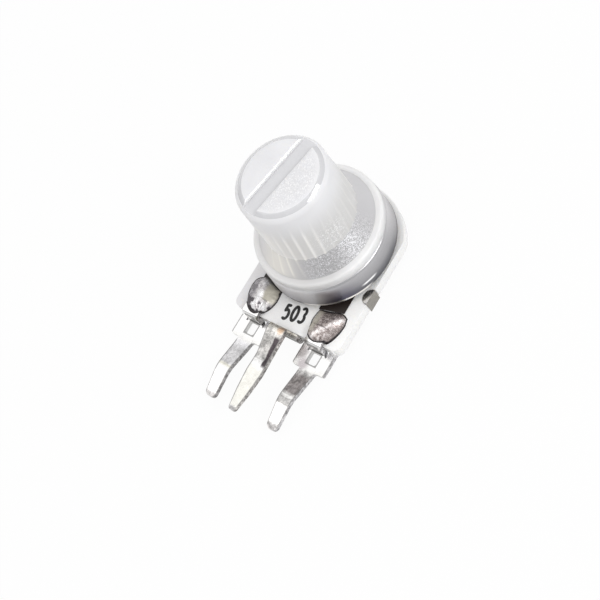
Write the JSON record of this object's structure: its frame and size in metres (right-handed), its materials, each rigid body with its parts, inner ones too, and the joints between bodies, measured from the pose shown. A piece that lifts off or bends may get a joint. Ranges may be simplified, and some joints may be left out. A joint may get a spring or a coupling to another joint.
{
  "type": "trimmer potentiometer",
  "caption": "Ceramic trimmer potentiometer with a ribbed translucent knob on a metal rotor cap and kinked solder leads along one edge.",
  "frame": {"origin": "on the rotor axis at the front face of the ceramic base", "axes": "+Z along the rotor axis towards the knob, -Y towards the lead tips, +X to the right when the knob faces the viewer and the leads hang down"},
  "size_m": [0.0086, 0.0165, 0.0101],
  "materials": {
    "ceramic": "smooth white ceramic with a soft gloss",
    "resistive_ink": "black printed resistive layer",
    "silver_ink": "matt fired silver layer",
    "tinned_brass": "bright tin plating over brass",
    "solder": "wrinkled grey solder with dark flux at its edge",
    "rivet": "plated hollow rivet",
    "cap_metal": "polished stamped metal",
    "spring_metal": "thin spring bronze",
    "knob_plastic": "milky translucent plastic, frosted on the grip"
  },
  "bodies": {
    "base": {"ceramic_base": "ceramic", "resistive_track": "resistive_ink", "left_electrode": "silver_ink", "right_electrode": "silver_ink", "left_terminal": "tinned_brass", "right_terminal": "tinned_brass", "collector_terminal": "tinned_brass", "left_solder": "solder", "right_solder": "solder"},
    "rotor": {"hub_rivet": "rivet", "rotor_cap": "cap_metal", "wiper_spring": "spring_metal", "knob": "knob_plastic"}
  },
  "joints": [
    {"name": "rotor_turn", "type": "hinge", "parent": "base", "child": "rotor", "pos_m": [0, 0, 0], "axis": [0, 0, 1], "range_deg": [-108.5, 131.5]}
  ]
}
